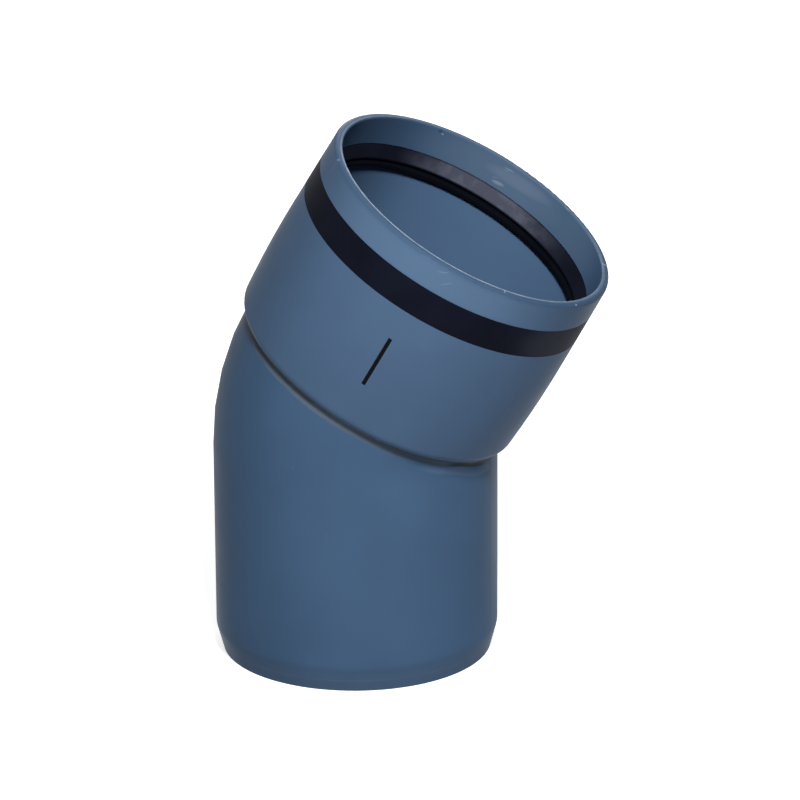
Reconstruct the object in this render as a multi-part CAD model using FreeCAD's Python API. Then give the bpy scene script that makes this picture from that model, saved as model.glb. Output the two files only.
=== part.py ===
# A 30 degree bend for 110 mm push-fit drain pipe.
#
# The bend is one plastic moulding: a plain spigot that stands on its chamfered end,
# a short bend, and a socket that leans 30 degrees towards +X. A rubber ring is moulded
# into the socket wall. Inside it makes two lips, outside it shows as a flush dark band,
# and round pins of the same rubber join the two through ports in the wall.
#
# Frame: millimetres, +Z up. The origin is the centre of the spigot's end face,
# the spigot runs up +Z, and the socket's axis lies in the plane of X and Z.
import FreeCAD, Part
import math
import os

# Driving dimensions of the pipe and the bend
pipe_diameter = 110.0
pipe_wall = 3.4
bend_angle = 30.0
throat_radius = 3.0
spigot_length = 83.0
neck_length = 2.2

# The spigot's end, which a worker pushes into the next socket
chamfer_length = 10.0
chamfer_depth = 2.7
chamfer_blend = 8.0
end_edge_round = 0.2

# The socket's outside, from its shoulder to its rim
socket_length = 78.2
shoulder_wall = 2.95
shoulder_rise = 1.0
shoulder_round = 3.8
neck_fillet = 0.5
belly_wall = 4.15
belly_start = 22.0
belly_end = 38.0
belly_blend = 400.0
mouth_wall = 3.3
rim_round = 1.6

# The socket's inside: the stop for the pipe and the bore that the pipe slides in
stop_height = 4.0
stop_chamfer = 0.8
bore_clearance = 0.7
rim_inner_round = 0.6

# The seat of the rubber: a groove inside, a channel outside, and ports through the web
collar_height = 11.9
collar_edge_chamfer = 0.4
band_height = 12.3
groove_inset = 0.9
groove_depth = 1.2
web_wall = 1.4
port_count = 16
port_diameter = 4.0

# The rubber lips inside, from the top of the groove down
entry_cone_height = 5.0
guide_lip_bite = 1.3
guide_lip_land = 0.6
guide_lip_slope = 0.5
undercut_height = 0.5
undercut_clearance = 0.2
sealing_lip_slope = 1.0
sealing_lip_bite = 1.6
sealing_lip_land = 1.5
lip_nose_round = 0.25

# Sizes that follow from those above
pipe_radius = pipe_diameter / 2
pipe_bore = pipe_radius - pipe_wall
bend_radius = pipe_radius + throat_radius
bore_radius = pipe_radius + bore_clearance
shoulder_radius = bore_radius + shoulder_wall
belly_radius = bore_radius + belly_wall
mouth_radius = bore_radius + mouth_wall
band_top = socket_length - collar_height
band_bottom = band_top - band_height
band_middle = band_bottom + band_height / 2
groove_bottom = band_bottom + groove_inset
groove_top = band_top - groove_inset
groove_radius = bore_radius + groove_depth
channel_radius = groove_radius + web_wall
outside_radius = belly_radius + web_wall
guide_lip_radius = pipe_radius - guide_lip_bite
sealing_lip_radius = pipe_radius - sealing_lip_bite
undercut_radius = pipe_radius + undercut_clearance

SPIGOT_AXIS = FreeCAD.Vector(0, 0, 1)
BEND_AXIS = FreeCAD.Vector(0, 1, 0)
angle = math.radians(bend_angle)
socket_direction = FreeCAD.Vector(math.sin(angle), 0, math.cos(angle))
bend_end = FreeCAD.Vector(bend_radius * (1 - math.cos(angle)), 0, spigot_length + bend_radius * math.sin(angle))
socket_base = bend_end + socket_direction * neck_length
socket_place = FreeCAD.Placement(socket_base, FreeCAD.Rotation(BEND_AXIS, bend_angle))


def rounded_outline(corners):
    """Closed outline in the plane of X and Z. Each corner is (radius, height, rounding)."""
    count = len(corners)
    joints = []
    for i, (radius, height, rounding) in enumerate(corners):
        corner = FreeCAD.Vector(radius, 0, height)
        before = FreeCAD.Vector(corners[i - 1][0], 0, corners[i - 1][1]) - corner
        after = FreeCAD.Vector(corners[(i + 1) % count][0], 0, corners[(i + 1) % count][1]) - corner
        before.normalize()
        after.normalize()
        if not rounding:
            joints.append((corner, None, corner))
            continue
        half = before.getAngle(after) / 2
        back = rounding / math.tan(half)
        middle = (before + after).normalize() * (rounding / math.sin(half) - rounding)
        joints.append((corner + before * back, corner + middle, corner + after * back))
    edges = []
    for i, (start, middle, end) in enumerate(joints):
        if middle:
            edges.append(Part.Arc(start, middle, end).toShape())
        following = joints[(i + 1) % count][0]
        if end.distanceToPoint(following) > 1e-6:
            edges.append(Part.LineSegment(end, following).toShape())
    return Part.Wire(edges)


def turned(corners):
    """Solid of revolution about Z from a rounded outline."""
    return Part.Face(rounded_outline(corners)).revolve(FreeCAD.Vector(), SPIGOT_AXIS, 360)


def tube(outer, inner, bottom, top):
    """Plain ring about Z."""
    return turned([(inner, bottom, 0), (outer, bottom, 0), (outer, top, 0), (inner, top, 0)])


def spigot():
    """Straight pipe with the chamfer that guides it into a socket."""
    return turned([
        (pipe_bore, 0, end_edge_round),
        (pipe_radius - chamfer_depth, 0, end_edge_round),
        (pipe_radius, chamfer_length, chamfer_blend),
        (pipe_radius, spigot_length, 0),
        (pipe_bore, spigot_length, 0),
    ])


def bend():
    """The pipe's ring section swept round the bend's axis."""
    top = FreeCAD.Vector(0, 0, spigot_length)
    outer = Part.Wire(Part.Circle(top, SPIGOT_AXIS, pipe_radius).toShape())
    inner = Part.Wire(Part.Circle(top, SPIGOT_AXIS, pipe_bore).toShape())
    section = Part.Face(outer).cut(Part.Face(inner)).Faces[0]
    return section.revolve(FreeCAD.Vector(bend_radius, 0, spigot_length), BEND_AXIS, bend_angle)


def socket_outside():
    """Corners of the socket's outer form, from the neck up to the rim."""
    return [
        (pipe_radius, -neck_length, 0),
        (pipe_radius, 0, neck_fillet),
        (shoulder_radius, shoulder_rise, shoulder_round),
        (belly_radius, belly_start, belly_blend),
        (belly_radius, belly_end, belly_blend),
        (mouth_radius, socket_length, rim_round),
    ]


def socket_inside():
    """Corners of the socket's inner form, from the rim down to the neck."""
    return [
        (bore_radius, socket_length, rim_inner_round),
        (bore_radius, groove_top + collar_edge_chamfer, 0),
        (bore_radius + collar_edge_chamfer, groove_top, 0),
        (groove_radius, groove_top, 0),
        (groove_radius, groove_bottom, 0),
        (bore_radius, groove_bottom, 0),
        (bore_radius, stop_height, 0),
        (pipe_bore + stop_chamfer, stop_height, 0),
        (pipe_bore, stop_height - stop_chamfer, 0),
        (pipe_bore, -neck_length, 0),
    ]


def band():
    """Outer part of the rubber: a ring that ends flush with the socket's wall."""
    wall = turned(socket_outside() + [(channel_radius, socket_length, 0), (channel_radius, -neck_length, 0)])
    return wall.common(tube(outside_radius, channel_radius, band_bottom, band_top))


def ports():
    """Radial pins of rubber through the web between the groove and the channel."""
    across = FreeCAD.Vector(1, 0, 0)
    pin = Part.makeCylinder(port_diameter / 2, belly_radius, FreeCAD.Vector(0, 0, band_middle), across)
    web = tube(channel_radius, groove_radius, band_bottom, band_top)
    pins = []
    for i in range(port_count):
        copy = pin.copy()
        copy.rotate(FreeCAD.Vector(), SPIGOT_AXIS, 360.0 * i / port_count)
        pins.append(copy.common(web))
    return pins


def lips():
    """Inner part of the rubber: entry cone, guide lip, undercut and sealing lip."""
    guide_top = groove_top - entry_cone_height
    guide_bottom = guide_top - guide_lip_land
    undercut_top = guide_bottom - guide_lip_slope
    undercut_bottom = undercut_top - undercut_height
    sealing_top = undercut_bottom - sealing_lip_slope
    sealing_bottom = sealing_top - sealing_lip_land
    return turned([
        (groove_radius, groove_bottom, 0),
        (groove_radius, groove_top, 0),
        (bore_radius, groove_top, 0),
        (guide_lip_radius, guide_top, lip_nose_round),
        (guide_lip_radius, guide_bottom, lip_nose_round),
        (undercut_radius, undercut_top, 0),
        (undercut_radius, undercut_bottom, 0),
        (sealing_lip_radius, sealing_top, lip_nose_round),
        (sealing_lip_radius, sealing_bottom, lip_nose_round),
        (bore_radius, groove_bottom, 0),
    ])


def pipe_bend():
    """The plastic moulding, with the seat cut for the rubber."""
    socket = turned(socket_outside() + socket_inside())
    socket = socket.cut(tube(outside_radius, channel_radius, band_bottom, band_top))
    socket = socket.cut(ports())
    socket.Placement = socket_place
    return spigot().fuse([bend(), socket]).removeSplitter()


def seal_ring():
    """The rubber moulded into the socket: lips, ports and band in one piece."""
    ring = lips().fuse(ports() + [band()]).removeSplitter()
    ring.Placement = socket_place
    return ring


# Write one file for each piece
os.makedirs("parts", exist_ok=True)
for name, shape in (("pipe_bend", pipe_bend()), ("seal_ring", seal_ring())):
    solid = shape.Solids[0]
    print(name, "solids", len(shape.Solids), "valid", shape.isValid(), "volume", round(shape.Volume))
    solid.exportStep("parts/" + name + ".step")
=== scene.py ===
# %% [markdown]
# # A drain pipe bend, dressed from its solids
#
# The object is a push-fit bend for drain pipe. It stands on its spigot, turns 30 degrees and
# ends in a wide socket with a dark rubber seal moulded into its wall. The solids come from a
# CAD file and are already the right shape, so Blender adds what CAD can't say: the skin of the
# plastic, the dull rubber, the printed bar, dust, scuffs and light.

# %% Load the solids
import math
import bpy
from mathutils import Matrix, Vector

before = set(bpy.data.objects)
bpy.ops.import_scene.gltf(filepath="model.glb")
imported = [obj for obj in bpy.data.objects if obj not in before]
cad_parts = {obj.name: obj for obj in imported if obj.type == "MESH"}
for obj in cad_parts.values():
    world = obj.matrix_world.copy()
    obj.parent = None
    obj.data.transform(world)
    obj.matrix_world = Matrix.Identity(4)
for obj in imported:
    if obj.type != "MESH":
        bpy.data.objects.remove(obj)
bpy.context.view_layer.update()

# %% [markdown]
# ## The camera
#
# The photographer stood a long way off with a long lens, a little above the rim and to the
# right of the plane in which the pipe bends. We could aim a camera at an empty, but the small
# roll and the off-centre framing are easier to keep when the camera's three directions are
# written down: one to its right, one up, and one straight back from the subject.

# %% Work out where the camera stands
azimuth = math.radians(18.22)
elevation = math.radians(19.31)
roll = math.radians(-0.34)
distance = 2.0
subject = Vector((0, 0, 0.079))
slide_right, slide_up = 0.01722, 0.01949


def direction_to(azimuth, elevation):
    """Unit vector from the object to something round it. An azimuth of 0 is in front, towards -Y."""
    level = math.cos(elevation)
    return Vector((math.sin(azimuth) * level, -math.cos(azimuth) * level, math.sin(elevation)))


back = direction_to(azimuth, elevation)
level_right = Vector((math.cos(azimuth), math.sin(azimuth), 0))
right = Matrix.Rotation(roll, 3, back) @ level_right
up = back.cross(right)
place = subject + back * distance + right * slide_right + up * slide_up
print("camera at", [round(v, 3) for v in place])

# %% Place the camera
sensor_width = 36
focal_length = 232.5
far_limit = 50

camera = bpy.data.objects.new("camera", bpy.data.cameras.new("camera"))
camera.data.sensor_width = sensor_width
camera.data.lens = focal_length
camera.data.clip_end = far_limit
camera.matrix_world = Matrix((right, up, back)).transposed().to_4x4()
camera.location = place
bpy.context.scene.collection.objects.link(camera)
bpy.context.scene.camera = camera
print("lens", camera.data.lens, "mm")

# %% [markdown]
# ## Helpers for node trees
#
# Every finish below is built from nodes. A few small functions keep that readable. One adds a
# node and fills its sockets, and three add a single step of arithmetic. Two more start a node
# group with named sockets and place it, so that an effect is built once and then used in each
# material with its own values.

# %% Node helpers
def add_node(tree, kind, sockets=None, **properties):
    """Add a node. A socket gets a link if its value is another socket, and a constant otherwise."""
    node = tree.nodes.new(kind)
    for name, value in properties.items():
        setattr(node, name, value)
    for key, value in (sockets or {}).items():
        if isinstance(value, bpy.types.NodeSocket):
            tree.links.new(value, node.inputs[key])
        else:
            node.inputs[key].default_value = value
    return node


def calculate(tree, operation, *values):
    """Add a Math node and return its result."""
    return add_node(tree, "ShaderNodeMath", dict(enumerate(values)), operation=operation).outputs[0]


def multiply(tree, product, *values):
    """Product of any number of values. One value alone comes back as it is."""
    for value in values:
        product = calculate(tree, "MULTIPLY", product, value)
    return product


def ramp_between(tree, value, low, high, low_result=0.0, high_result=1.0):
    """Smooth step from one level of a value to another."""
    sockets = {"Value": value, "From Min": low, "From Max": high}
    sockets |= {"To Min": low_result, "To Max": high_result}
    return add_node(tree, "ShaderNodeMapRange", sockets, interpolation_type="SMOOTHSTEP").outputs[0]


print("node helpers ready")

# %% Group helpers
def start_group(name, inputs, outputs):
    """New shader node group. Inputs come as name and default, outputs as names."""
    group = bpy.data.node_groups.new(name, "ShaderNodeTree")
    for label, default in inputs:
        socket = group.interface.new_socket(label, in_out="INPUT", socket_type="NodeSocketFloat")
        socket.default_value = default
    for label in outputs:
        group.interface.new_socket(label, in_out="OUTPUT", socket_type="NodeSocketFloat")
    return group, group.nodes.new("NodeGroupInput").outputs, group.nodes.new("NodeGroupOutput").inputs


def place_group(tree, group, **values):
    """Put a group in a tree. Underscores in the names of the values stand for spaces."""
    sockets = {name.replace("_", " "): value for name, value in values.items()}
    return add_node(tree, "ShaderNodeGroup", sockets, node_tree=group).outputs


print("group helpers ready")

# %% [markdown]
# ## Where a point lies on the socket
#
# The rim, the rubber and the printed bar all belong to the socket, which leans 30 degrees. A
# finish that should follow them needs to know how far along the socket's own axis a point is,
# how far from that axis, and at which angle round it. A Mapping node of the type Texture turns
# the object's coordinates back into the socket's, and a group shares the three numbers. From
# here on, heights and radii on the socket are in millimetres. The height is 0 at the shoulder
# and below 0 on the neck. The angle is 0 on the far right, and -90 degrees faces the front.

# %% Group: position on the socket
lean = math.radians(30)
shoulder = (0.0088705, 0, 0.113905)
millimetre = 0.001
bore_radius = 55.7
rim_height = 78.2


def build_socket_position():
    group, given, result = start_group("position on the socket", [], ["Height", "Radius", "Angle"])
    coordinates = add_node(group, "ShaderNodeTexCoord").outputs["Object"]
    upright = add_node(
        group, "ShaderNodeMapping",
        {"Vector": coordinates, "Location": shoulder, "Rotation": (0, lean, 0), "Scale": (millimetre,) * 3},
        vector_type="TEXTURE",
    ).outputs[0]
    x, y, z = add_node(group, "ShaderNodeSeparateXYZ", {0: upright}).outputs
    squares = calculate(group, "ADD", multiply(group, x, x), multiply(group, y, y))
    group.links.new(z, result["Height"])
    group.links.new(calculate(group, "SQRT", squares), result["Radius"])
    group.links.new(calculate(group, "ARCTAN2", y, x), result["Angle"])
    return group


socket_position = build_socket_position()
print("group:", socket_position.name, [item.name for item in socket_position.interface.items_tree])

# %% [markdown]
# ## The skin of a moulding
#
# Moulded plastic and rubber are never quite even. There is a fine grain from the steel of the
# mould, which only the light sees, and a slow drift in colour and gloss where the melt flowed
# and cooled. One group makes both from noise: a grain for bump, and a cloud for colour and gloss.

# %% Group: moulded skin
def noise_of_size(tree, coordinates, size, detail):
    """Noise whose features are about as large as a size in millimetres."""
    per_metre = calculate(tree, "DIVIDE", 1 / millimetre, size)
    sockets = {"Vector": coordinates, "Scale": per_metre, "Detail": detail}
    return add_node(tree, "ShaderNodeTexNoise", sockets).outputs[0]


def build_moulded_skin():
    inputs = [("Grain Size", 0.4), ("Cloud Size", 30.0)]
    group, given, result = start_group("moulded skin", inputs, ["Grain", "Cloud"])
    coordinates = add_node(group, "ShaderNodeTexCoord").outputs["Object"]
    group.links.new(noise_of_size(group, coordinates, given["Grain Size"], 3.0), result["Grain"])
    group.links.new(noise_of_size(group, coordinates, given["Cloud Size"], 2.0), result["Cloud"])
    return group


moulded_skin = build_moulded_skin()
print("group:", moulded_skin.name)

# %% [markdown]
# ## Scratches
#
# A fitting lies in a crate with many others, and they leave fine pale hairlines on it. A
# hairline is drawn where a noise passes through its middle value. The noise is drawn out along
# one direction, so that its lines run nearly straight, and a coarser noise keeps only a few
# stretches of them, so that the lines start and stop.

# %% Group: hairlines
middle_value = 0.5
patch_level, patch_reach, patch_softness = 0.72, 0.4, 0.08


def build_hairlines():
    inputs = [("Spacing", 3.0), ("Stretch", 25.0), ("Turn", 0.0), ("Width", 0.01)]
    inputs += [("Patch Size", 12.0), ("Coverage", 0.3)]
    group, given, result = start_group("hairlines", inputs, ["Mask"])
    coordinates = add_node(group, "ShaderNodeTexCoord").outputs["Object"]
    turn = add_node(group, "ShaderNodeCombineXYZ", {"X": given["Turn"], "Y": given["Turn"]}).outputs[0]
    turned = add_node(
        group, "ShaderNodeMapping", {"Vector": coordinates, "Rotation": turn}, vector_type="POINT"
    ).outputs[0]
    shrink = calculate(group, "DIVIDE", 1.0, given["Stretch"])
    squash = add_node(group, "ShaderNodeCombineXYZ", {"X": 1.0, "Y": 1.0, "Z": shrink}).outputs[0]
    drawn_out = add_node(
        group, "ShaderNodeVectorMath", {0: turned, 1: squash}, operation="MULTIPLY"
    ).outputs[0]
    noise = noise_of_size(group, drawn_out, given["Spacing"], 0.0)
    off_line = calculate(group, "ABSOLUTE", calculate(group, "SUBTRACT", noise, middle_value))
    line = calculate(group, "SUBTRACT", 1.0, ramp_between(group, off_line, 0.0, given["Width"]))
    patches = noise_of_size(group, coordinates, given["Patch Size"], 2.0)
    edge = calculate(group, "SUBTRACT", patch_level, multiply(group, given["Coverage"], patch_reach))
    kept = ramp_between(group, patches, edge, calculate(group, "ADD", edge, patch_softness))
    group.links.new(multiply(group, line, kept), result["Mask"])
    return group


hairlines = build_hairlines()
print("group:", hairlines.name)

# %% [markdown]
# ## Bands that follow an edge
#
# Wear sits on an edge, painted shade sits in a corner, and print sits at a set height. Each is a soft band
# round one level of some number, broken up by noise. The group takes the number, the level and the width,
# and a break-up of 0 leaves the band whole.

# %% Group: broken band
hole_start, hole_end = 0.42, 0.62


def build_broken_band():
    inputs = [("Value", 0.0), ("Level", 0.0), ("Half Width", 1.0), ("Softness", 0.5)]
    inputs += [("Break Up", 0.0), ("Grain Size", 3.0)]
    group, given, result = start_group("broken band", inputs, ["Mask"])
    away = calculate(group, "ABSOLUTE", calculate(group, "SUBTRACT", given["Value"], given["Level"]))
    inside = calculate(group, "SUBTRACT", given["Half Width"], given["Softness"])
    band = calculate(group, "SUBTRACT", 1.0, ramp_between(group, away, inside, given["Half Width"]))
    coordinates = add_node(group, "ShaderNodeTexCoord").outputs["Object"]
    noise = noise_of_size(group, coordinates, given["Grain Size"], 4.0)
    whole = ramp_between(group, noise, hole_start, hole_end)
    loss = multiply(group, calculate(group, "SUBTRACT", 1.0, whole), given["Break Up"])
    group.links.new(multiply(group, band, calculate(group, "SUBTRACT", 1.0, loss)), result["Mask"])
    return group


def band_mask(tree, value, settings):
    """The band's mask round one level of a value, with the group's other inputs as settings."""
    return place_group(tree, broken_band, Value=value, **settings)["Mask"]


broken_band = build_broken_band()
print("group:", broken_band.name)

# %% [markdown]
# ## Single marks
#
# Some marks are one of a kind: a knock near the rim, a scuff, a painted highlight. Each is a soft oval at
# its own height and angle on the socket, turned as it lies there. The group unrolls the wall round that
# spot, so that the oval is given in millimetres along and across.

# %% Group: single mark
full_within = 0.25


def build_single_mark():
    inputs = [("Height", 0.0), ("Angle", 0.0), ("At Height", 0.0), ("At Angle", 0.0)]
    inputs += [("Arc Radius", bore_radius), ("Half Length", 2.0), ("Half Width", 0.5), ("Turn", 0.0)]
    group, given, result = start_group("single mark", inputs, ["Mask"])
    up_wall = calculate(group, "SUBTRACT", given["Height"], given["At Height"])
    turned_by = calculate(group, "SUBTRACT", given["Angle"], given["At Angle"])
    round_wall = multiply(group, turned_by, given["Arc Radius"])
    cosine, sine = calculate(group, "COSINE", given["Turn"]), calculate(group, "SINE", given["Turn"])
    along = calculate(group, "ADD", multiply(group, round_wall, cosine), multiply(group, up_wall, sine))
    along = calculate(group, "DIVIDE", along, given["Half Length"])
    down_round = multiply(group, round_wall, sine)
    across = calculate(group, "SUBTRACT", multiply(group, up_wall, cosine), down_round)
    across = calculate(group, "DIVIDE", across, given["Half Width"])
    squares = calculate(group, "ADD", multiply(group, along, along), multiply(group, across, across))
    away = calculate(group, "SQRT", squares)
    group.links.new(ramp_between(group, away, full_within, 1.0, 1.0, 0.0), result["Mask"])
    return group


single_mark = build_single_mark()
print("group:", single_mark.name)

# %% Lay marks on the socket
def place_marks(tree, height, angle, marks):
    """One mask for some marks.

    Each mark is its height, its angle in degrees, the wall's radius there, its half length,
    its half width, its turn in degrees and its strength.
    """
    total = None
    for at_height, at_angle, arc_radius, half_length, half_width, turn, strength in marks:
        mask = place_group(
            tree, single_mark,
            Height=height, Angle=angle, At_Height=at_height, At_Angle=math.radians(at_angle),
            Arc_Radius=arc_radius, Half_Length=half_length, Half_Width=half_width, Turn=math.radians(turn),
        )["Mask"]
        mask = multiply(tree, mask, strength)
        total = mask if total is None else calculate(tree, "MAXIMUM", total, mask)
    return total


print("marks can be placed")

# %% [markdown]
# ## Starting a material
#
# Both finishes use the Principled shader. Its constants are set on its own sockets, and only
# what changes over the surface comes from nodes. A finish grows in layers, as dirt and wear do
# in life: each layer is a colour and some masks, and covers the colour that it is given.
#
# A ramp is kept as the level where it starts and the level where it ends, and then its result
# at each of the two. Without those results it runs from 0 to 1. A ramp over the way a point
# faces starts with that direction, and its levels are cosines: 1 is where the wall faces it
# squarely.

# %% Material helpers
def start_material(name, colour, **constants):
    """New material with a Principled shader, whose constants go on its own sockets."""
    material = bpy.data.materials.new(name)
    material.use_nodes = True
    material.diffuse_color = (*colour, 1)
    shader = material.node_tree.nodes["Principled BSDF"]
    shader.inputs["Base Color"].default_value = (*colour, 1)
    for key, value in constants.items():
        shader.inputs[key.replace("_", " ")].default_value = value
    return material, material.node_tree, shader


def blend_colour(tree, amount, under, over):
    """Mix one colour over another by a mask."""
    node = add_node(tree, "ShaderNodeMix", data_type="RGBA")
    for key, value in ((0, amount), (6, under), (7, over)):
        if isinstance(value, bpy.types.NodeSocket):
            tree.links.new(value, node.inputs[key])
        else:
            node.inputs[key].default_value = value if key == 0 else (*value, 1)
    return node.outputs[2]


def cover(tree, under, over, *masks):
    """Lay a colour over another, as thick as the product of some masks and strengths."""
    return blend_colour(tree, multiply(tree, *masks), under, over)


print("material helpers ready")

# %% Helpers for colour and direction
cloud_spread = (0.3, 0.7)


def shade(colour, factor):
    """A colour made darker or paler."""
    return tuple(channel * factor for channel in colour)


def drift_between(tree, cloud, colour, dark, pale):
    """A colour that drifts between two of its shades with a cloud of noise."""
    drift = ramp_between(tree, cloud, *cloud_spread)
    return blend_colour(tree, drift, shade(colour, dark), shade(colour, pale))


def facing(tree, angle, direction, low, high, low_result=0.0, high_result=1.0):
    """Ramp over how squarely the wall faces one direction, given in degrees round the socket."""
    turned_by = calculate(tree, "SUBTRACT", angle, math.radians(direction))
    return ramp_between(tree, calculate(tree, "COSINE", turned_by), low, high, low_result, high_result)


print("colour helpers ready")

# %% [markdown]
# ## Slate-blue polypropylene: the bare colour
#
# The moulding is a filled polypropylene: satin rather than shiny, and a grey slate blue. Every
# layer of its finish has to know where a point is: how high and at which angle on the socket,
# on the inside or the outside, and how far above the floor. We work that out once and hand it
# to all the layers.

# %% Where a point of the plastic is
plastic_colour = (0.052, 0.100, 0.180)
# This pale colour paints real wear, and also painted highlights and glint.
rubbed_and_highlight_colour = (0.30, 0.37, 0.45)
inside_within = 56.35
outside_beyond = 58.0


def find_place(tree):
    """Numbers that say where a point is, and masks for the socket's inside and outside."""
    on_socket = place_group(tree, socket_position)
    coordinates = add_node(tree, "ShaderNodeTexCoord").outputs["Object"]
    metres_up = add_node(tree, "ShaderNodeSeparateXYZ", {0: coordinates}).outputs["Z"]
    return {
        "height": on_socket["Height"],
        "radius": on_socket["Radius"],
        "angle": on_socket["Angle"],
        "inside": calculate(tree, "LESS_THAN", on_socket["Radius"], inside_within),
        "outside": calculate(tree, "GREATER_THAN", on_socket["Radius"], outside_beyond),
        "above floor": multiply(tree, metres_up, 1 / millimetre),
    }


print("plastic", plastic_colour, "and where it is rubbed", rubbed_and_highlight_colour)

# %% [markdown]
# ## Painted light deep in the socket
#
# Below the seal the inside is painted a little paler, as painted light for the light that reaches deep into
# the socket. A flat pale colour would hide the plastic, so we cover it by less than half, and fade the
# painted light out under the seal's edge and above the stop for the pipe.

# %% Layer: painted light deep in the socket
deep_painted_light_colour = (0.10, 0.175, 0.295)
deep_painted_light_strength = 0.45
painted_light_top = (54.0, 57.0)
painted_light_bottom = (2.0, 8.0)


def lay_deep_painted_light(tree, at, colour):
    below_seal = ramp_between(tree, at["height"], *painted_light_top, 1.0, 0.0)
    above_stop = ramp_between(tree, at["height"], *painted_light_bottom)
    return cover(tree, colour, deep_painted_light_colour, at["inside"], below_seal, above_stop, deep_painted_light_strength)


print("film from", painted_light_bottom, "to", painted_light_top, "mm up the socket")

# %% [markdown]
# ## The underside of the shoulder
#
# Where the socket steps out from the neck, its underside faces the floor. It is painted greyer than the
# wall, a painted reflection of the floor, and a weak coat makes it a little glossier. Two bands cross
# there, one in radius and one in height, and what they share is that narrow ring. The same mask later
# drives that coat, which makes the gloss.

# %% Layer: painted floor reflection on the underside of the shoulder
underside_reflection_colour = (0.085, 0.082, 0.085)
underside_reflection_strength = 0.6
underside_gloss = 0.45
underside_radius = {"Level": 57.0, "Half_Width": 1.7, "Softness": 0.5, "Break_Up": 0.2, "Grain_Size": 5.0}
underside_height = {"Level": 0.3, "Half_Width": 1.3, "Softness": 0.4}


def mask_underside(tree, at):
    across = band_mask(tree, at["radius"], underside_radius)
    return multiply(tree, across, band_mask(tree, at["height"], underside_height))


print("underside at a radius of", underside_radius["Level"], "mm")

# %% [markdown]
# ## Painted light on the wall and foot
#
# The wall of the socket and the foot of the spigot are painted a little paler and greyer: painted light,
# with a grey painted sheen on the wall. A faint pale line, broken by noise, also runs round the foot. All
# three are so weak that you only notice them when they are gone.

# %% Layer: painted light on the wall and foot, and a line round the foot
painted_light_grey = (0.180, 0.195, 0.225)
wall_painted_light_strength = 0.06
wall_starts_above = 0.5
foot_painted_light_strength = 0.08
foot_fades_between = (5.0, 12.0)
foot_line = {"Level": 4.6, "Half_Width": 0.5, "Softness": 0.4, "Break_Up": 0.7, "Grain_Size": 9.0}
foot_line_strength = 0.06


def lay_painted_light_and_foot_line(tree, at, colour):
    above = calculate(tree, "GREATER_THAN", at["height"], wall_starts_above)
    colour = cover(tree, colour, painted_light_grey, at["outside"], above, wall_painted_light_strength)
    foot = ramp_between(tree, at["above floor"], *foot_fades_between, foot_painted_light_strength, 0.0)
    colour = cover(tree, colour, painted_light_grey, foot)
    line = band_mask(tree, at["above floor"], foot_line)
    return cover(tree, colour, rubbed_and_highlight_colour, line, foot_line_strength)


print("handled up to", foot_fades_between[1], "mm above the floor")

# %% [markdown]
# ## The dark strip under the shoulder
#
# A dark strip of even width lies on the neck, right under the shoulder. The lamps alone give a softer
# shadow that grows wider to one side, so most of the strip is painted shadow, grey and pale at the left,
# where it is also a painted reflection of the floor, and dark at the right. We paint it as a band in
# height. The strip sags on the right. To make the band follow it, we add a little to the height there
# before we compare it with the band's level.

# %% Layer: painted shadow on the neck
painted_shadow_pale = (0.105, 0.132, 0.160)
painted_shadow_dark = (0.050, 0.070, 0.096)
painted_shadow_strength = 0.9
painted_shadow_band = {"Level": -1.75, "Half_Width": 1.75, "Softness": 0.35, "Break_Up": 0.12, "Grain_Size": 4.0}
left_side = (-131.78, 0.1, 0.9)
right_side = (10.0, 0.78, 0.97)
sag = 1.6


def find_sagging_height(tree, at):
    """The height, raised on the right by as much as the strip sags there."""
    return calculate(tree, "ADD", at["height"], facing(tree, at["angle"], *right_side, 0.0, sag))


def lay_painted_shadow(tree, at, colour):
    shadow_tone = blend_colour(tree, facing(tree, at["angle"], *left_side), painted_shadow_dark, painted_shadow_pale)
    strip = band_mask(tree, at["sagging height"], painted_shadow_band)
    return cover(tree, colour, shadow_tone, strip, painted_shadow_strength)


print("grime reaches", painted_shadow_band["Level"] - painted_shadow_band["Half_Width"], "mm, and sags by", sag, "mm")

# %% [markdown]
# ## Where the painted shadow ends
#
# The painted shadow ends in three ways. At the right it is thickest, in a nearly black crescent of painted
# shade. Just below that the wall is painted paler, painted light that takes the edge off the lamps' shadow.
# At the left a broken pale line marks the strip's lower edge.

# %% Layer: painted crescent, painted light and pale line
crescent_shade_colour = (0.011, 0.015, 0.021)
crescent_band = {"Level": -2.5, "Half_Width": 1.2, "Softness": 0.7}
crescent_side = (-21.0, 0.965, 0.996, 0.0, 0.9)
shadow_lift_colour = (0.105, 0.185, 0.310)
shadow_lift_band = {"Level": -5.3, "Half_Width": 2.1, "Softness": 1.6}
shadow_lift_side = (-23.0, 0.90, 0.985, 0.0, 0.7)
lower_line_colour = (0.20, 0.20, 0.20)
lower_line_band = {"Level": -3.6, "Half_Width": 0.32, "Softness": 0.25, "Break_Up": 0.8, "Grain_Size": 7.0}
lower_line_strength = 0.35


def lay_shadow_edges(tree, at, colour):
    for over, band, side in (
        (crescent_shade_colour, crescent_band, crescent_side),
        (shadow_lift_colour, shadow_lift_band, shadow_lift_side),
    ):
        mask = band_mask(tree, at["sagging height"], band)
        colour = cover(tree, colour, over, mask, facing(tree, at["angle"], *side))
    lower_line = band_mask(tree, at["height"], lower_line_band)
    return cover(tree, colour, lower_line_colour, lower_line, facing(tree, at["angle"], *left_side), lower_line_strength)


print("crescent at", crescent_side[0], "degrees, tide line at", lower_line_band["Level"], "mm")

# %% [markdown]
# ## Painted sheen on the collar
#
# The front of the collar above the seal is painted paler than the rest, a painted sheen where the light
# falls brightest. The sheen is strongest between the band of rubber and the rim, and a trace of it goes on
# down the socket's front. Towards the sides it fades out.

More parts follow.
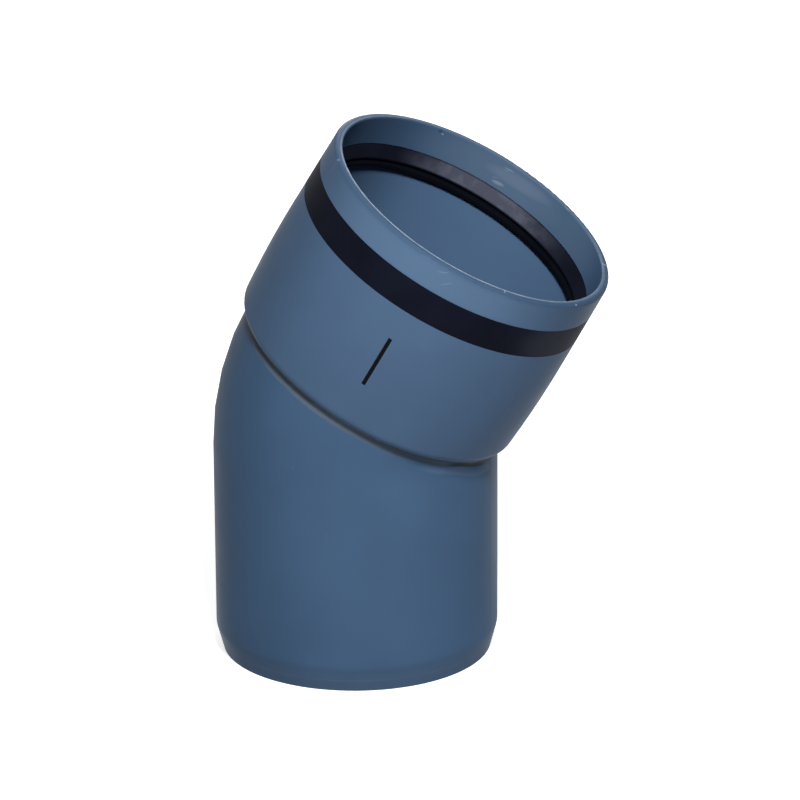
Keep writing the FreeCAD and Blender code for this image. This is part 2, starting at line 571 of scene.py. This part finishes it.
# %% Layer: painted sheen on the collar
collar_sheen_colour = (0.125, 0.205, 0.315)
collar_sheen_side = (-90.0, 0.45, 1.0)
sheen_from_band = (64.0, 68.0, 0.03, 0.30)
sheen_to_rim = (75.0, 77.6, 1.0, 0.3)


def lay_collar_sheen(tree, at, colour):
    front = facing(tree, at["angle"], *collar_sheen_side)
    up_collar = ramp_between(tree, at["height"], *sheen_from_band)
    below_rim = ramp_between(tree, at["height"], *sheen_to_rim)
    above_shoulder = calculate(tree, "GREATER_THAN", at["height"], 0.0)
    return cover(tree, colour, collar_sheen_colour, front, up_collar, below_rim, at["outside"], above_shoulder)


print("collar worn from", sheen_from_band[0], "to", sheen_to_rim[1], "mm")

# %% [markdown]
# ## Hairlines on the plastic
#
# Two sets of hairlines cross the whole moulding, long ones and short ones, each turned its own
# way. One mask holds both, because the lines also roughen the gloss and cut into the grain.

# %% Mask: hairlines on the plastic
long_lines = {
    "Spacing": 7.0, "Stretch": 30.0, "Turn": 0.55, "Width": 0.005, "Patch_Size": 22.0, "Coverage": 0.25,
}
short_lines = {
    "Spacing": 2.5, "Stretch": 22.0, "Turn": 2.1, "Width": 0.010, "Patch_Size": 9.0, "Coverage": 0.15,
}
line_strength = 0.07
line_roughness = 0.1
line_depth = 0.5


def mask_hairlines(tree):
    masks = [place_group(tree, hairlines, **lines)["Mask"] for lines in (long_lines, short_lines)]
    return calculate(tree, "MAXIMUM", *masks)


print("hairlines about", long_lines["Spacing"], "and", short_lines["Spacing"], "mm apart")

# %% [markdown]
# ## The rim
#
# The rim's flat end, its land, carries a painted glint, pale where it faces the front. Its rounded outer
# corner is painted darker than the wall, a painted shade, so that the bright land reads as a crisp line.
# The left of the inside is painted darker too, as the photograph has less light there than our lamps give.

# %% Layer: painted shade on the corner and shy side
corner_starts = (76.4, 77.4)
corner_beyond = 56.9
corner_painted_shade, corner_strength = 0.55, 0.5
shy_side = (172.0, 0.62, 1.0)
shy_shade, shy_strength = 0.35, 0.5


def lay_painted_shade_sides(tree, at, colour):
    up_corner = ramp_between(tree, at["height"], *corner_starts)
    beyond = calculate(tree, "GREATER_THAN", at["radius"], corner_beyond)
    colour = cover(tree, colour, shade(plastic_colour, corner_painted_shade), up_corner, beyond, corner_strength)
    shy = facing(tree, at["angle"], *shy_side)
    return cover(tree, colour, shade(plastic_colour, shy_shade), shy, at["inside"], shy_strength)


print("corner from", corner_starts[0], "mm, shy side at", shy_side[0], "degrees")

# %% Layer: painted glint on the land
land_band = {"Level": 56.55, "Half_Width": 0.50, "Softness": 0.25, "Break_Up": 0.35, "Grain_Size": 6.0}
land_starts = (77.9, 78.1)
glint_side = (-94.54, 0.2, 1.0, 0.16, 0.88)


def lay_land_glint(tree, at, colour):
    land = band_mask(tree, at["radius"], land_band)
    on_land = ramp_between(tree, at["height"], *land_starts)
    glint = facing(tree, at["angle"], *glint_side)
    return cover(tree, colour, rubbed_and_highlight_colour, land, on_land, glint)


print("land polished at a radius of", land_band["Level"], "mm, just under", rim_height, "mm")

# %% [markdown]
# ## Scuffs, specks, a knock and painted highlights
#
# A handful of marks are one of a kind. Inside the far wall are short pale painted highlights and a soft
# painted glow of light, and a knock has left a dent in the inner edge, painted dark as shade in it, with a
# painted highlight beside it. The outside and the land have a few specks. Each is a single mark, given one
# by one.

# %% The marks
# Each is height, angle, wall radius, half length, half width, turn, strength
# Inside: painted highlights and a painted glow of light on the far wall and its edge, and a painted
# highlight beside the knock.
inside_painted_highlights = [
    (75.6, 91.7, bore_radius, 3.4, 0.35, -3, 0.62),
    (74.7, 92.6, bore_radius, 2.2, 0.25, -6, 0.45),
    (68.3, 93.0, bore_radius, 4.2, 1.30, -6, 0.50),
    (69.6, 95.2, bore_radius, 2.0, 0.22, -12, 0.45),
    (73.2, 86.0, bore_radius, 26.0, 5.50, -4, 0.25),
    (71.5, 91.0, bore_radius, 52.0, 16.0, 0, 0.13),
    (71.5, 52.0, bore_radius, 30.0, 16.0, 0, 0.08),
    (78.0, 62.5, bore_radius, 2.6, 0.35, 0, 0.30),
    (76.3, 122.9, bore_radius, 0.9, 0.50, 20, 0.65),
]
outside_marks = [
    (74.2, -146.8, 58.9, 5.2, 0.22, 75, 0.25),
    (77.6, -147.2, 58.4, 1.1, 0.70, 30, 0.35),
    (75.3, -81.1, 59.0, 3.4, 0.22, 24, 0.28),
    (71.8, -78.0, 59.0, 3.2, 0.20, 40, 0.24),
    (77.9, -21.7, 58.5, 0.7, 0.35, 0, 0.75),
]
land_marks = [
    (rim_height, 25.0, 56.9, 0.5, 0.40, 0, 0.95),
    (rim_height, -57.0, 56.2, 0.4, 0.40, 0, 0.60),
]
knock = (77.1, 124.2, bore_radius, 1.4, 1.05, 0, 0.85)
print("marks:", len(inside_painted_highlights) + len(outside_marks) + len(land_marks) + 1)

# %% Layer: scuffs, specks and painted highlights
land_above = 78.05
# The dent of the knock is painted darker, as painted shade in it.
knock_painted_shade = 0.45
knock_depth = 8.0


def mask_knock(tree, at):
    return multiply(tree, place_marks(tree, at["height"], at["angle"], [knock]), at["inside"])


def lay_scuffs_and_highlights(tree, at, colour):
    on_land = calculate(tree, "GREATER_THAN", at["height"], land_above)
    sets = ((inside_painted_highlights, at["inside"]), (outside_marks, at["outside"]), (land_marks, on_land))
    scuff_and_highlight_mask = 0.0
    for marks, where in sets:
        mask = multiply(tree, place_marks(tree, at["height"], at["angle"], marks), where)
        scuff_and_highlight_mask = calculate(tree, "MAXIMUM", scuff_and_highlight_mask, mask)
    return cover(tree, colour, rubbed_and_highlight_colour, scuff_and_highlight_mask)


print("knock at", knock[1], "degrees, in a shade of", knock_painted_shade)

# %% [markdown]
# ## The printed bar
#
# One plain black bar is printed along the socket's front, to line up the bend with. It could be
# a thin piece of mesh, but ink has no thickness that an eye could see, so it is a mask: a band
# in height, crossed by a band along the arc round the wall.

# %% Layer: printed bar
ink_colour = (0.004, 0.004, 0.005)
bar_angle = math.radians(-84.8)
bar_radius = 59.75
bar_up = {"Level": 30.5, "Half_Width": 11.05, "Softness": 0.12}
bar_across = {"Level": 0.0, "Half_Width": 0.84, "Softness": 0.12}


def lay_printed_bar(tree, at, colour):
    arc = multiply(tree, calculate(tree, "SUBTRACT", at["angle"], bar_angle), bar_radius)
    up_wall, across = band_mask(tree, at["height"], bar_up), band_mask(tree, arc, bar_across)
    return cover(tree, colour, ink_colour, up_wall, across, at["outside"])


print("bar", 2 * bar_up["Half_Width"], "by", 2 * bar_across["Half_Width"], "mm")

# %% [markdown]
# ## All the layers together
#
# Now the layers are laid one over the other. A later layer hides the ones before it, so the
# broad films come first, the marks after them and the ink last. The masks of the underside, the
# hairlines and the knock do more than colour: they also drive the coat, the roughness and the
# bump.

# %% Colour of the plastic
plastic_shades = (0.95, 1.05)


def colour_plastic(tree, at, cloud, underside, lines, knocked):
    colour = drift_between(tree, cloud, plastic_colour, *plastic_shades)
    colour = lay_deep_painted_light(tree, at, colour)
    colour = cover(tree, colour, underside_reflection_colour, underside, underside_reflection_strength)
    for lay in (lay_painted_light_and_foot_line, lay_painted_shadow, lay_shadow_edges, lay_collar_sheen):
        colour = lay(tree, at, colour)
    colour = cover(tree, colour, rubbed_and_highlight_colour, lines, line_strength)
    for lay in (lay_painted_shade_sides, lay_land_glint):
        colour = lay(tree, at, colour)
    colour = cover(tree, colour, shade(plastic_colour, knock_painted_shade), knocked)
    return lay_printed_bar(tree, at, lay_scuffs_and_highlights(tree, at, colour))


print("shades of the plastic:", plastic_shades)

# %% Material: slate-blue polypropylene
plastic_skin = {"Grain_Size": 0.5, "Cloud_Size": 34.0}
plastic_roughness = (0.25, 0.75, 0.38, 0.46)
plastic_relief = {"Strength": 0.10, "Distance": 0.0001}


def build_plastic():
    material, tree, shader = start_material(
        "slate_blue_polypropylene", plastic_colour, Specular_IOR_Level=0.022, Coat_Roughness=0.3
    )
    at = find_place(tree)
    at["sagging height"] = find_sagging_height(tree, at)
    skin = place_group(tree, moulded_skin, **plastic_skin)
    underside, lines, knocked = mask_underside(tree, at), mask_hairlines(tree), mask_knock(tree, at)
    colour = colour_plastic(tree, at, skin["Cloud"], underside, lines, knocked)
    roughness = ramp_between(tree, skin["Cloud"], *plastic_roughness)
    roughness = calculate(tree, "ADD", roughness, multiply(tree, lines, line_roughness))
    relief = calculate(tree, "SUBTRACT", skin["Grain"], multiply(tree, lines, line_depth))
    relief = calculate(tree, "SUBTRACT", relief, multiply(tree, knocked, knock_depth))
    bump = add_node(tree, "ShaderNodeBump", {**plastic_relief, "Height": relief}).outputs[0]
    tree.links.new(colour, shader.inputs["Base Color"])
    tree.links.new(roughness, shader.inputs["Roughness"])
    tree.links.new(multiply(tree, underside, underside_gloss), shader.inputs["Coat Weight"])
    tree.links.new(bump, shader.inputs["Normal"])
    return material


plastic = build_plastic()
print("material:", plastic.name, len(plastic.node_tree.nodes), "nodes")

# %% [markdown]
# ## Near-black rubber
#
# The seal is a navy so dark that it reads as black. Outside it is a flush band, with a painted sheen on its
# right. Inside, one stretch of the cone that guides the pipe has gathered pale dust, and the lips below it
# hardly get any light, so they are painted darker still, as painted shade.

# %% Colours, dust and painted sheen of the rubber
rubber_colour = (0.0048, 0.0060, 0.0118)
rubber_shades = (0.85, 1.2)
dust_and_sheen_colour = (0.130, 0.142, 0.195)
lip_colour = (0.0016, 0.0018, 0.0028)
lips_below = (59.3, 60.3, 0.65, 0.0)
cone_band = {"Level": 63.0, "Half_Width": 2.9, "Softness": 0.9, "Break_Up": 0.25, "Grain_Size": 4.0}
cone_dust = [
    (62.6, 94.0, 54.8, 44.0, 30.0, 0, 0.56),
]
dust_everywhere = 0.02
band_painted_sheen = [
    (60.5, -20.0, 59.3, 0.6, 0.5, 0, 0.30),
    (60.0, -22.0, 59.3, 24.0, 16.0, 0, 0.13),
]
print("dust on the cone at", cone_band["Level"], "mm and in", len(band_painted_sheen), "marks outside")

# %% Mask: dust and painted sheen on the rubber
clumps_between = (0.35, 0.6, 0.6, 1.0)


def mask_dust_and_sheen(tree, on_socket, cloud, inside):
    """Dust on the cone inside, in clumps, and a painted sheen on the band outside."""
    height, angle = on_socket["Height"], on_socket["Angle"]
    stretch = calculate(tree, "ADD", place_marks(tree, height, angle, cone_dust), dust_everywhere)
    clumps = ramp_between(tree, cloud, *clumps_between)
    on_cone = multiply(tree, band_mask(tree, height, cone_band), stretch, clumps, inside)
    outside = calculate(tree, "SUBTRACT", 1.0, inside)
    on_band = multiply(tree, place_marks(tree, height, angle, band_painted_sheen), outside)
    return calculate(tree, "MAXIMUM", on_cone, on_band)


print("dust clumps from", clumps_between[2], "to", clumps_between[3])

# %% Material: near-black rubber
rubber_inside_within = 56.5
rubber_skin = {"Grain_Size": 0.35, "Cloud_Size": 18.0}
rubber_roughness = (0.0, 0.4, 0.50, 0.65)
rubber_relief = {"Strength": 0.15, "Distance": 0.0001}


def build_rubber():
    material, tree, shader = start_material("near_black_rubber", rubber_colour, Specular_IOR_Level=0.015)
    on_socket = place_group(tree, socket_position)
    skin = place_group(tree, moulded_skin, **rubber_skin)
    inside = calculate(tree, "LESS_THAN", on_socket["Radius"], rubber_inside_within)
    dust_and_sheen = mask_dust_and_sheen(tree, on_socket, skin["Cloud"], inside)
    colour = drift_between(tree, skin["Cloud"], rubber_colour, *rubber_shades)
    colour = cover(tree, colour, dust_and_sheen_colour, dust_and_sheen)
    colour = cover(tree, colour, lip_colour, ramp_between(tree, on_socket["Height"], *lips_below), inside)
    bump = add_node(tree, "ShaderNodeBump", {**rubber_relief, "Height": skin["Grain"]}).outputs[0]
    tree.links.new(colour, shader.inputs["Base Color"])
    tree.links.new(ramp_between(tree, dust_and_sheen, *rubber_roughness), shader.inputs["Roughness"])
    tree.links.new(bump, shader.inputs["Normal"])
    return material


rubber = build_rubber()
print("material:", rubber.name, len(rubber.node_tree.nodes), "nodes")

# %% [markdown]
# ## Dressing the solids
#
# The meshes stay as they came, so dressing them only means filling their material slots. There
# are two solids and two materials, and each solid wears one of them all over.

# %% Dress the solids
for name, material in (("pipe_bend", plastic), ("seal_ring", rubber)):
    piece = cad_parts[name]
    if not piece.material_slots:
        piece.data.materials.append(material)
    for slot in piece.material_slots:
        slot.material = material
    print(name, "wears", material.name, "on", len(piece.data.polygons), "faces")

# %% [markdown]
# ## The studio
#
# The photograph is a cut-out on white, so the floor is pale and meets a white world. The lamps
# alone would leave the floor grey behind the object. Light Path can tell a ray that comes
# straight from the camera, or by way of a reflection, from one that lights a surface. For the
# first kind the floor and the world show white, and for the second they stay as they are. Close
# to the object the floor shows a little less than white, so that the object keeps its shadow.

# %% What the camera sees as background
def seen_directly(tree):
    """1 for a ray that shows the background to the camera or in a reflection, else 0."""
    rays = add_node(tree, "ShaderNodeLightPath").outputs
    mirrored = calculate(tree, "MAXIMUM", rays["Is Glossy Ray"], rays["Is Transmission Ray"])
    return calculate(tree, "MAXIMUM", rays["Is Camera Ray"], mirrored)


print("background helper ready")

# %% Floor
floor_colour = (0.62, 0.62, 0.62)
floor_reach = 12.0
floor_glow = (0.08, 0.40, 0.80, 1.0)


def build_floor():
    low, high = -floor_reach, floor_reach
    mesh = bpy.data.meshes.new("floor")
    mesh.from_pydata([(low, low, 0), (high, low, 0), (high, high, 0), (low, high, 0)], [], [(0, 1, 2, 3)])
    floor = bpy.data.objects.new("floor", mesh)
    bpy.context.scene.collection.objects.link(floor)
    material, tree, shader = start_material(
        "pale_floor", floor_colour, Roughness=0.9, Specular_IOR_Level=0.1
    )
    coordinates = add_node(tree, "ShaderNodeTexCoord").outputs["Object"]
    away = add_node(tree, "ShaderNodeVectorMath", {0: coordinates}, operation="LENGTH").outputs["Value"]
    glow = ramp_between(tree, away, *floor_glow)
    shader.inputs["Emission Color"].default_value = (1, 1, 1, 1)
    tree.links.new(multiply(tree, seen_directly(tree), glow), shader.inputs["Emission Strength"])
    mesh.materials.append(material)
    return floor


floor = build_floor()
print("floor", floor.name, "reaches", floor_reach, "m")

# %% World
world_light, world_shown = 0.04, 1.0


def build_world():
    world = bpy.data.worlds.new("studio")
    bpy.context.scene.world = world
    world.use_nodes = True
    tree = world.node_tree
    background = tree.nodes["Background"]
    background.inputs["Color"].default_value = (1, 1, 1, 1)
    strength = ramp_between(tree, seen_directly(tree), 0.0, 1.0, world_light, world_shown)
    tree.links.new(strength, background.inputs["Strength"])
    return world


world = build_world()
print("world", world.name, "lights with", world_light)

# %% [markdown]
# ## The lamps
#
# The shadow under the socket's shoulder is short, and the top of the object is brighter than
# its foot. Both come from one fairly small soft box close by, above the camera and a touch to
# its right. A weak wide lamp overhead lifts the land of the rim. The third lamp stands behind
# the object. It brightens the outline a little, and lights the back for a view from there.

# %% Lamps
lamp_target = Vector((0.02, 0, 0.11))


def add_lamp(name, azimuth, elevation, distance, width, power):
    """Square area lamp that looks at the middle of the object. Its angles are in degrees."""
    away = direction_to(math.radians(azimuth), math.radians(elevation))
    data = bpy.data.lights.new(name, "AREA")
    data.shape = "SQUARE"
    data.size = width
    data.energy = power
    lamp = bpy.data.objects.new(name, data)
    lamp.location = lamp_target + away * distance
    lamp.rotation_mode = "QUATERNION"
    lamp.rotation_quaternion = away.to_track_quat("Z", "Y")
    bpy.context.scene.collection.objects.link(lamp)
    return lamp


lamps = [
    add_lamp("key", azimuth=23, elevation=43, distance=0.75, width=0.13, power=7.0),
    add_lamp("overhead", azimuth=-40, elevation=78, distance=1.3, width=0.8, power=0.4),
    add_lamp("back", azimuth=192, elevation=24, distance=1.2, width=0.6, power=6.5),
]
print("lamps:", [(lamp.name, lamp.data.energy) for lamp in lamps])

# %% [markdown]
# ## The finish
#
# The view transform is what turns light into the picture's colours. Standard shows a colour as it was
# written, where the others bend it to look like film.

# %% Finish
bpy.context.scene.view_settings.view_transform = "Standard"
